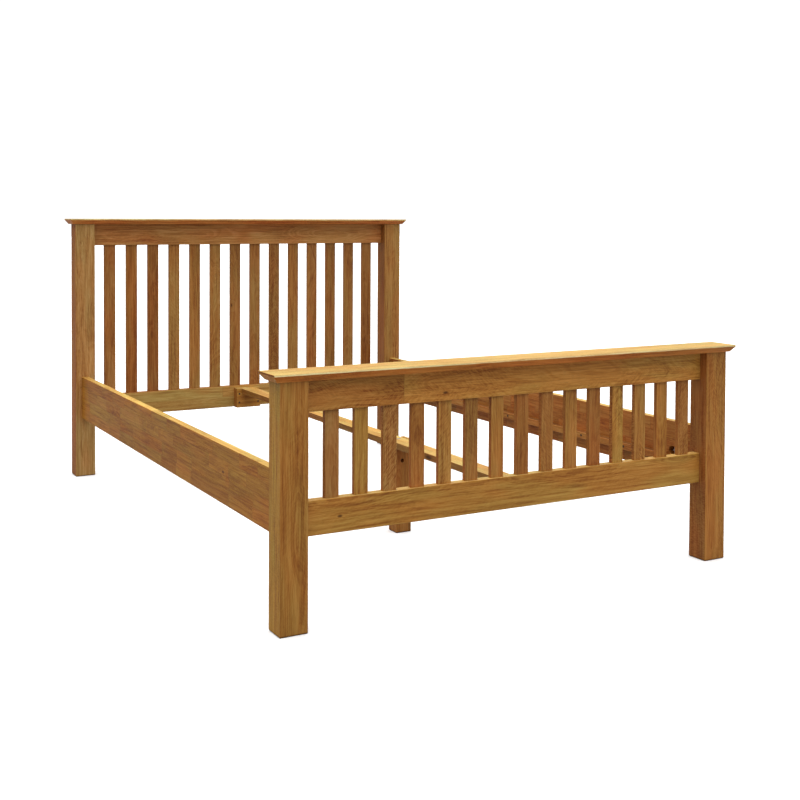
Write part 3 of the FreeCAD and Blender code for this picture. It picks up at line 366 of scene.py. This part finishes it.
class Graph:
    """Short calls that add shader nodes to one tree and link them."""

    def __init__(self, tree):
        self.tree = tree

    def node(self, kind, inputs=None, **settings):
        """A node with settings, whose inputs are numbers, colours or other nodes' sockets."""
        made = self.tree.nodes.new(kind)
        for name, value in settings.items():
            setattr(made, name, value)
        for key, value in (inputs or {}).items():
            self.feed(made.inputs[key], value)
        return made

    def feed(self, socket, value):
        """Link a socket to another, or set it."""
        if isinstance(value, bpy.types.NodeSocket):
            self.tree.links.new(value, socket)
        else:
            socket.default_value = value

    def math(self, operation, *values, clamp=False):
        """One operation on numbers."""
        return self.node("ShaderNodeMath", dict(enumerate(values)), operation=operation,
                         use_clamp=clamp).outputs[0]

    def total(self, *parts):
        """The sum of pairs of a value and its weight."""
        result = 0.0
        for value, weight in parts:
            result = self.math("ADD", result, self.math("MULTIPLY", value, weight))
        return result

    def vector(self, operation, *values, result="Vector"):
        """One operation on vectors."""
        return self.node("ShaderNodeVectorMath", dict(enumerate(values)),
                         operation=operation).outputs[result]

    def split(self, vector):
        """The three parts of a vector."""
        return self.node("ShaderNodeSeparateXYZ", {0: vector}).outputs

    def join(self, x, y, z):
        """A vector from three parts."""
        return self.node("ShaderNodeCombineXYZ", {0: x, 1: y, 2: z}).outputs[0]

    def noise(self, vector, scale, detail=2.0, roughness=0.5):
        """Perlin noise from 0 to 1 on coordinates stretched by a scale for each axis."""
        stretched = self.vector("MULTIPLY", vector, scale)
        made = self.node("ShaderNodeTexNoise",
                         {"Vector": stretched, "Scale": 1.0, "Detail": detail,
                          "Roughness": roughness})
        return made.outputs["Fac"]

    def random(self, *values):
        """The same random number from 0 to 1 for the same values."""
        padded = list(values) + [0.0] * (3 - len(values))
        return self.node("ShaderNodeTexWhiteNoise", {"Vector": self.join(*padded)},
                         noise_dimensions="3D").outputs["Value"]

    def fit(self, value, limits, results=(0.0, 1.0), smooth=True):
        """A value moved from one range to another and held inside it."""
        made = self.node("ShaderNodeMapRange",
                         {"Value": value, "From Min": limits[0], "From Max": limits[1],
                          "To Min": results[0], "To Max": results[1]},
                         interpolation_type="SMOOTHSTEP" if smooth else "LINEAR")
        return made.outputs["Result"]

    def mix(self, factor, first, second, blend="MIX", clamp=False):
        """Two colours mixed by a factor."""
        made = self.node("ShaderNodeMix", data_type="RGBA", blend_type=blend,
                         clamp_result=clamp)
        self.feed(made.inputs["Factor"], factor)
        self.feed(made.inputs["A"], colour(first))
        self.feed(made.inputs["B"], colour(second))
        return made.outputs["Result"]

    def tinted(self, wood, tint, clamp=False):
        """A colour multiplied by another."""
        return self.mix(1.0, wood, tint, blend="MULTIPLY", clamp=clamp)

    def shaded(self, wood, amount, share, shade):
        """A colour that goes towards another by a share of an amount."""
        return self.mix(self.math("MULTIPLY", amount, share), wood, shade)


def colour(value):
    """A colour with its alpha, or a socket as it is."""
    if isinstance(value, bpy.types.NodeSocket):
        return value
    return (*value, 1.0)


def new_material(name):
    """An empty material and the graph of its nodes."""
    material = bpy.data.materials.new(name)
    material.use_nodes = True
    material.node_tree.nodes.clear()
    return material, Graph(material.node_tree)


def wandering(g, place):
    """How far the pith line strays here."""
    return g.math("SUBTRACT", g.noise(place, BEND_SCALE, detail=3.0), 0.5)


def make_oak_group():
    """Oak as a solid texture: growth rings round a pith line that runs along Z.

    Swell pushes the rings apart round a knot, Knot darkens the wood there, and Rays
    is how much the medullary rays show where the cut runs through the pith.
    """
    group = bpy.data.node_groups.new("oak_grain", "ShaderNodeTree")
    face = group.interface
    for name, kind in (("Vector", "NodeSocketVector"), ("Seed", "NodeSocketFloat"),
                       ("Pith", "NodeSocketVector"), ("Swell", "NodeSocketFloat"),
                       ("Knot", "NodeSocketFloat"), ("Rays", "NodeSocketFloat")):
        face.new_socket(name, in_out="INPUT", socket_type=kind)
    for name, kind in (("Color", "NodeSocketColor"), ("Roughness", "NodeSocketFloat"),
                       ("Height", "NodeSocketFloat")):
        face.new_socket(name, in_out="OUTPUT", socket_type=kind)
    g = Graph(group)
    given = g.node("NodeGroupInput").outputs
    away = g.node("ShaderNodeVectorMath", {0: SEED_STEP, "Scale": given["Seed"]},
                  operation="SCALE").outputs[0]
    place = g.vector("ADD", given["Vector"], away)

    # Rings: distance from a pith that wanders along the tree
    bend = g.math("MULTIPLY", wandering(g, place), BEND_SIZE)
    lifted = g.vector("ADD", place, SWAY_OFFSET)
    sway = g.math("MULTIPLY", wandering(g, lifted), 2 * BEND_SIZE)
    x, y, z = g.split(g.vector("SUBTRACT", given["Vector"], given["Pith"]))
    across = g.math("ADD", x, bend)
    through = g.math("ADD", y, sway)
    radius = g.math("SQRT", g.math("ADD", g.math("MULTIPLY", across, across),
                                   g.math("MULTIPLY", through, through)))
    ripple = g.math("MULTIPLY", g.noise(place, RIPPLE_SCALE), RING_RIPPLE)
    radius = g.math("ADD", g.math("ADD", radius, ripple), given["Swell"])
    ring = g.math("FRACT", g.math("DIVIDE", radius, RING_WIDTH))
    latewood = g.math("MULTIPLY", g.fit(ring, RING_DARKENS), g.fit(ring, RING_ENDS, (1.0, 0.0)))
    band_place = g.math("ADD", g.math("DIVIDE", radius, BAND_WIDTH), given["Seed"])
    band_noise = g.node("ShaderNodeTexNoise", {"W": band_place, "Scale": 1.0, "Detail": 2.0},
                        noise_dimensions="1D").outputs["Fac"]

    # Rays: short stripes that lean away on either side of the board's heart
    cloud = g.noise(place, CLOUD_SCALE, detail=3.0)
    lean = g.math("MULTIPLY", g.math("ABSOLUTE", across), RAY_LEAN)
    ray_place = g.vector("ADD", g.join(across, through, g.math("ADD", z, lean)), away)
    stripe = g.fit(g.noise(ray_place, RAY_SCALE, roughness=0.6), RAY_LIMITS, (-1.0, 1.0))
    ray = g.math("MULTIPLY", g.math("MULTIPLY", stripe, g.fit(cloud, RAY_PATCHES)), given["Rays"])

    hue = g.noise(place, HUE_SCALE)
    streak = g.noise(place, STREAK_SCALE, detail=3.0, roughness=0.6)
    grain = g.noise(place, GRAIN_SCALE, roughness=0.6)
    fibre = g.noise(place, FIBRE_SCALE, roughness=0.6)
    pore = g.math("MULTIPLY", g.fit(g.noise(place, PORE_SCALE, detail=1.0), PORE_LIMITS),
                  g.fit(ring, PORES_THIN_OUT, (LATEWOOD_PORES, 1.0)))

    darkness = g.total((latewood, LATEWOOD_SHADE), (g.fit(band_noise, BAND_LIMITS), BAND_SHADE),
                       (g.fit(streak, STREAK_LIMITS), STREAK_SHADE),
                       (g.fit(grain, GRAIN_LIMITS), GRAIN_SHADE),
                       (g.fit(fibre, FIBRE_LIMITS), FIBRE_SHADE), (ray, RAY_SHADE))
    darkness = g.math("ADD", darkness, g.fit(cloud, CLOUD_LIMITS, CLOUD_SHADES), clamp=True)
    light_half = g.mix(g.fit(darkness, (0.0, 0.5), smooth=False), OAK_PALE, OAK_GOLD)
    wood = g.mix(g.fit(darkness, (0.5, 1.0), smooth=False), light_half, OAK_BROWN)
    wood = g.tinted(wood, g.mix(g.fit(hue, HUE_LIMITS), WARM_HUE, GREEN_HUE))
    wood = g.shaded(wood, pore, PORE_SHADE, OAK_PORE)
    wood = g.mix(given["Knot"], wood, OAK_PORE)

    rough = g.total((fibre, FIBRE_ROUGHNESS), (pore, PORE_ROUGHNESS), (cloud, CLOUD_ROUGHNESS),
                    (ray, RAY_ROUGHNESS))
    rough = g.math("ADD", rough, LACQUER_ROUGHNESS)
    height = g.total((fibre, FIBRE_HEIGHT), (pore, -1.0), (latewood, -LATEWOOD_DEPTH))
    g.node("NodeGroupOutput", {"Color": wood, "Roughness": rough, "Height": height})
    return group


def turned(g, place, along):
    """Coordinates with the grain along Z, for a piece whose grain runs along an axis."""
    parts = g.split(place)
    return g.join(*(parts[number] for number in GRAIN_ORDER[along]))


def edge_nearness(g, place, low, high):
    """1 on a long edge of a box shaped piece, falling to 0 a little way in."""
    from_low = g.vector("SUBTRACT", place, tuple(low))
    from_high = g.vector("SUBTRACT", tuple(high), place)
    a, b, c = g.split(g.vector("MINIMUM", from_low, from_high))
    middle = g.math("MAXIMUM", g.math("MINIMUM", a, b),
                    g.math("MINIMUM", g.math("MAXIMUM", a, b), c))
    return g.fit(middle, (0.0, EDGE_HIGHLIGHT_WIDTH), (1.0, 0.0))


def facing(g, normal, direction):
    """1 on the face that looks in a direction, 0 on the others."""
    return g.math("GREATER_THAN", g.vector("DOT_PRODUCT", normal, direction, result="Value"),
                  FACING_COSINE)


def end_grain(g, normal, along):
    """1 where the surface is cut square across the grain."""
    straight = g.vector("DOT_PRODUCT", normal, GRAIN_AXES[along], result="Value")
    return g.fit(g.math("ABSOLUTE", straight), END_GRAIN_COSINES)


def knot_field(g, place, along, low, knots):
    """How far the knots push the rings apart, and how dark they are."""
    swell, dark = 0.0, 0.0
    for side, spot, size, length, darkness in knots:
        centre = (spot[0], low.y, spot[1]) if side == "front" else (low.x, *spot)
        stretch = tuple(1 / length if axis else 1.0 for axis in GRAIN_AXES[along])
        offset = g.vector("MULTIPLY", g.vector("SUBTRACT", place, centre), stretch)
        distance = g.vector("LENGTH", offset, result="Value")
        swell = g.math("ADD", swell, g.fit(distance, (0.0, KNOT_REACH * size),
                                           (KNOT_PUSH * size, 0.0)))
        dark = g.math("ADD", dark, g.fit(distance, (KNOT_CORE * size, size), (darkness, 0.0)))
    return swell, dark


def staves(g, grain, low, along, seed, rows, row_height, length, spread):
    """The glued staves of a board: their seeds, their tints, and 1 on the seams."""
    parts = g.split(grain)
    row_start = low[GRAIN_ORDER[along][rows]]
    climb = g.math("DIVIDE", g.math("SUBTRACT", parts[rows], row_start), row_height)
    row = g.math("FLOOR", climb)
    row_shift = g.math("MULTIPLY", g.random(row, seed), ROW_SHIFT)
    wave = g.total((parts[ALONG], JOINT_WAVE_RATE), (row_shift, ROW_WAVE_RATE))
    wobble = g.math("MULTIPLY", g.math("SINE", wave), JOINT_WAVE)
    run = g.math("ADD", g.math("ADD", g.math("DIVIDE", parts[ALONG], length), row_shift), wobble)
    cell = g.math("FLOOR", run)
    end_seam = g.math("ABSOLUTE", g.math("SUBTRACT", g.math("FRACT", run), 0.5))
    side_seam = g.math("ABSOLUTE", g.math("SUBTRACT", g.math("FRACT", climb), 0.5))
    seam = g.math("MAXIMUM", g.fit(end_seam, END_SEAM), g.fit(side_seam, SIDE_SEAM))
    first = g.random(row, cell, seed)
    second = g.random(cell, row, seed + STAVE_TINT_SEED)
    light = g.mix(first, (1 - spread,) * 3, (1 + spread,) * 3)
    tint = g.tinted(light, g.mix(second, GREEN_STAVE, WARM_STAVE))
    return g.math("ADD", g.math("MULTIPLY", first, STAVE_SEEDS), seed), tint, seam


def end_joint(g, grain, tint, seed, joint_place, tone):
    """Two boards glued end to end: their seeds, their tints, and 1 on the seam."""
    from_joint = g.math("SUBTRACT", g.split(grain)[ALONG], joint_place)
    past = g.math("GREATER_THAN", from_joint, 0.0)
    seam = g.fit(g.math("ABSOLUTE", from_joint), BUTT_SEAM, (1.0, 0.0))
    seeds = g.math("ADD", g.math("MULTIPLY", past, JOINT_SEED), seed)
    return seeds, g.mix(past, tint, TONES[tone]), seam


def oak_material(name, low, high, along, tone, face_light_and_shade, seed, pith):
    """Lacquered oak for one piece: its grain runs along an axis, it has its own tone, and some
    faces carry painted light or shade, with a painted highlight on its edges and painted shade
    near the floor.
    """
    material, g = new_material(f"oak_{name}")
    coordinates = g.node("ShaderNodeTexCoord").outputs
    place, normal = coordinates["Object"], coordinates["Normal"]
    grain = turned(g, place, along)
    swell, knot_dark = knot_field(g, place, along, low, KNOTS.get(name, ()))

    tint, seeds, stave_tint, seam = TONES[tone], seed, None, None
    if name in STAVES:
        seeds, stave_tint, seam = staves(g, grain, low, along, seed, *STAVES[name])
    if name in END_JOINTS:
        seeds, tint, seam = end_joint(g, grain, tint, seeds, *END_JOINTS[name])
    # Painted light and shade: each listed face gets a lighter or darker tone of its own, standing
    # in for how the light falls on it, and a seed of its own
    for number, (side, side_light) in enumerate(face_light_and_shade.items()):
        on_face = facing(g, normal, FACE_NORMALS[side])
        tint = g.mix(on_face, tint, TONES[side_light])
        seeds = g.math("ADD", g.math("MULTIPLY", on_face, FACE_SEED + number), seeds)
    oak = g.node("ShaderNodeGroup", node_tree=OAK)
    for key, value in (("Vector", grain), ("Seed", seeds), ("Pith", pith), ("Swell", swell),
                       ("Knot", knot_dark), ("Rays", STRONG_RAYS.get(name, RAYS))):
        g.feed(oak.inputs[key], value)

    wood = g.tinted(oak.outputs["Color"], tint, clamp=True)
    if stave_tint is not None:
        wood = g.tinted(wood, stave_tint)
    if seam is not None:
        wood = g.shaded(wood, seam, SEAM_SHADE, OAK_PORE)
    # Painted shade: the lowest few millimetres above the floor, the feet of the posts and the leg,
    # go dark, standing in for the shadow on their downward chamfers
    wood = g.mix(g.fit(g.split(place)[2], FOOT_SHADE_HEIGHTS, (FOOT_SHADE, 0.0)), wood, OAK_PORE)
    ends = end_grain(g, normal, along)
    wood = g.shaded(wood, ends, END_GRAIN_SHADE, OAK_BROWN)
    # Painted highlight: the long edges are lightened in patches towards pale oak, standing in for
    # light caught along their rounded edges
    edge_glint = g.fit(g.noise(place, EDGE_HIGHLIGHT_SCALE, detail=3.0), EDGE_HIGHLIGHT_LIMITS, EDGE_HIGHLIGHT)
    edge = g.math("MULTIPLY", edge_nearness(g, place, low, high), edge_glint)
    wood = g.mix(edge, wood, g.tinted(OAK_PALE, tint, clamp=True))

    rough = g.math("ADD", oak.outputs["Roughness"], g.math("MULTIPLY", ends, END_ROUGHNESS))
    bump = g.node("ShaderNodeBump", {"Height": oak.outputs["Height"],
                                     "Strength": GRAIN_BUMP_STRENGTH, "Distance": GRAIN_BUMP})
    shader = g.node("ShaderNodeBsdfPrincipled",
                    {"Base Color": wood, "Roughness": rough, "Normal": bump.outputs[0],
                     "Specular IOR Level": LACQUER_SPECULAR, "Coat Weight": LACQUER_COAT,
                     "Coat Roughness": COAT_ROUGHNESS})
    g.node("ShaderNodeOutputMaterial", {"Surface": shader.outputs[0]})
    return material


def dowel_material():
    """Plain pale beech with short flecks."""
    material, g = new_material("beech")
    place = g.node("ShaderNodeTexCoord").outputs["Object"]
    fleck = g.noise(place, BEECH_FLECK_SCALE)
    cloud = g.noise(place, BEECH_CLOUD_SCALE)
    wood = g.mix(g.fit(fleck, BEECH_FLECK_LIMITS), BEECH_PALE, BEECH_FLECK)
    wood = g.shaded(wood, cloud, BEECH_CLOUD_SHADE, BEECH_CLOUD)
    rough = g.fit(cloud, BEECH_ROUGH_LIMITS, BEECH_ROUGHNESS)
    bump = g.node("ShaderNodeBump", {"Height": fleck, "Strength": BEECH_FLECK_BUMP,
                                     "Distance": GRAIN_BUMP})
    shader = g.node("ShaderNodeBsdfPrincipled",
                    {"Base Color": wood, "Roughness": rough, "Normal": bump.outputs[0]})
    g.node("ShaderNodeOutputMaterial", {"Surface": shader.outputs[0]})
    return material


def metal_material(name, bright, dull, scratch_scale):
    """Plated metal: cloudy plating with fine scratches and dull patches."""
    material, g = new_material(name)
    place = g.node("ShaderNodeTexCoord").outputs["Object"]
    cloud = g.noise(place, PLATING_SCALE, detail=4.0, roughness=0.65)
    scratch = g.noise(place, scratch_scale, roughness=0.7)
    metal = g.mix(g.fit(cloud, PLATING_LIMITS), bright, dull)
    rough = g.math("ADD", g.fit(cloud, PLATING_ROUGH_LIMITS, PLATING_ROUGHNESS),
                   g.math("MULTIPLY", scratch, SCRATCH_ROUGHNESS))
    bump = g.node("ShaderNodeBump", {"Height": scratch, "Strength": SCRATCH_BUMP_STRENGTH,
                                     "Distance": SCRATCH_BUMP})
    shader = g.node("ShaderNodeBsdfPrincipled",
                    {"Base Color": metal, "Roughness": rough, "Metallic": 1.0,
                     "Normal": bump.outputs[0]})
    g.node("ShaderNodeOutputMaterial", {"Surface": shader.outputs[0]})
    return material


def make_fittings():
    """The finish of every piece that isn't oak, and steel for those without a name here."""
    beech = dowel_material()
    brass = metal_material("brass_insert", *BRASS)
    steel = metal_material("zinc_plated_steel", *ZINC)
    bronzed = metal_material("bronzed_screw", *BRONZED)
    named = {"cap_dowels": beech, "side_rail_dowels": beech, "bed_bolt_inserts": brass,
             "ledger_screws": bronzed, "hanger_screws": bronzed,
             "centre_support_screws": bronzed}
    return named, steel


# ---------------------------------------------------------------------------------
# Dressing the pieces: the shapes stay, and each gets its own finish
# ---------------------------------------------------------------------------------


def cut_of(name):
    """The axis of the grain, the tone and the painted light and shade of the faces of an oak
    piece, or None.
    """
    for start, tones in SLAT_TONES.items():
        if name.startswith(start):
            return "Z", tones[int(name[len(start):]) - 1], SLAT_SIDE_SHADE
    for start, along, tone in CUTS:
        if name.startswith(start):
            return along, tone, FACE_LIGHT_AND_SHADE.get(name, OTHER_TOP_LIGHT)
    return None


def dress_wood(name, along, tone, face_light_and_shade, dice):
    """Give one piece its own oak, cut beside a pith of its own."""
    low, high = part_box(name)
    middle = (low + high) / 2
    across, through, _ = (middle[number] for number in GRAIN_ORDER[along])
    pith = (across + dice.uniform(-PITH_ASIDE, PITH_ASIDE),
            through + dice.choice((-1, 1)) * dice.uniform(*PITH_AWAY), 0.0)
    seed = dice.uniform(0.0, LARGEST_SEED)
    return oak_material(name, low, high, along, tone, face_light_and_shade, seed, pith)


def dress_all():
    """Every piece gets its own finish."""
    dice = random.Random(DICE_SEED)
    fittings, steel = make_fittings()
    for name in sorted(NODES):
        cut = cut_of(name)
        finish = dress_wood(name, *cut, dice) if cut else fittings.get(name, steel)
        NODES[name].material_slots[0].material = finish


# ---------------------------------------------------------------------------------
# Floor, light and camera
# ---------------------------------------------------------------------------------


def make_floor():
    """A plain pale studio floor, which throws little light back at the object."""
    mesh = bpy.data.meshes.new("studio_floor")
    corners = [(-1, -1), (1, -1), (1, 1), (-1, 1)]
    mesh.from_pydata([(FLOOR_HALF * x, FLOOR_HALF * y, 0) for x, y in corners], [], [(0, 1, 2, 3)])
    floor = bpy.data.objects.new("studio_floor", mesh)
    bpy.context.scene.collection.objects.link(floor)
    material, g = new_material("pale_floor")
    seen = g.node("ShaderNodeLightPath").outputs["Is Camera Ray"]
    shades = [g.node("ShaderNodeBsdfDiffuse", {"Color": (grey, grey, grey, 1.0)}).outputs[0]
              for grey in (FLOOR_BOUNCE, FLOOR_SEEN)]
    both = g.node("ShaderNodeMixShader", {0: seen, 1: shades[0], 2: shades[1]})
    g.node("ShaderNodeOutputMaterial", {"Surface": both.outputs[0]})
    mesh.materials.append(material)


def make_light():
    """A white studio: a wide soft ceiling of light that fades towards the horizon."""
    world = bpy.data.worlds.new("studio")
    bpy.context.scene.world = world
    world.use_nodes = True
    world.node_tree.nodes.clear()
    g = Graph(world.node_tree)
    height = g.split(g.node("ShaderNodeTexCoord").outputs["Generated"])[2]
    above = g.math("MAXIMUM", height, 0.0)
    glow = g.fit(g.math("POWER", above, SKY_FALL), (0.0, 1.0), (SKY_EDGE, SKY_TOP), smooth=False)
    ceiling = g.node("ShaderNodeBackground", {"Color": WHITE, "Strength": glow})
    backdrop = g.node("ShaderNodeBackground", {"Color": WHITE, "Strength": BACKGROUND})
    seen = g.node("ShaderNodeLightPath").outputs["Is Camera Ray"]
    both = g.node("ShaderNodeMixShader", {0: seen, 1: ceiling.outputs[0], 2: backdrop.outputs[0]})
    g.node("ShaderNodeOutputWorld", {"Surface": both.outputs[0]})
    bpy.context.scene.view_settings.view_transform = "Standard"


def make_camera():
    """The photograph's camera: place, turn, focal length and the crop's offset."""
    yaw, pitch, roll = (math.radians(a) for a in (CAMERA_YAW, CAMERA_PITCH, CAMERA_ROLL))
    forward = Vector((math.sin(yaw) * math.cos(pitch), math.cos(yaw) * math.cos(pitch),
                      math.sin(pitch)))
    level_right = Vector((math.cos(yaw), -math.sin(yaw), 0.0))
    level_up = level_right.cross(forward)
    right = math.cos(roll) * level_right + math.sin(roll) * level_up
    up = math.cos(roll) * level_up - math.sin(roll) * level_right
    lens = bpy.data.cameras.new("photo_camera")
    lens.sensor_width = SENSOR_WIDTH
    lens.lens = FOCAL_PIXELS * SENSOR_WIDTH / PHOTO_SIDE
    lens.shift_x = (PHOTO_SIDE / 2 - PRINCIPAL_POINT[0]) / PHOTO_SIDE
    lens.shift_y = (PRINCIPAL_POINT[1] - PHOTO_SIDE / 2) / PHOTO_SIDE
    lens.clip_end = CAMERA_REACH
    camera = bpy.data.objects.new("photo_camera", lens)
    turn = Matrix((right, up, -forward)).transposed().to_4x4()
    camera.matrix_world = Matrix.Translation(CAMERA_PLACE) @ turn
    bpy.context.scene.collection.objects.link(camera)
    bpy.context.scene.camera = camera


OAK = make_oak_group()
dress_all()
make_floor()
make_light()
make_camera()
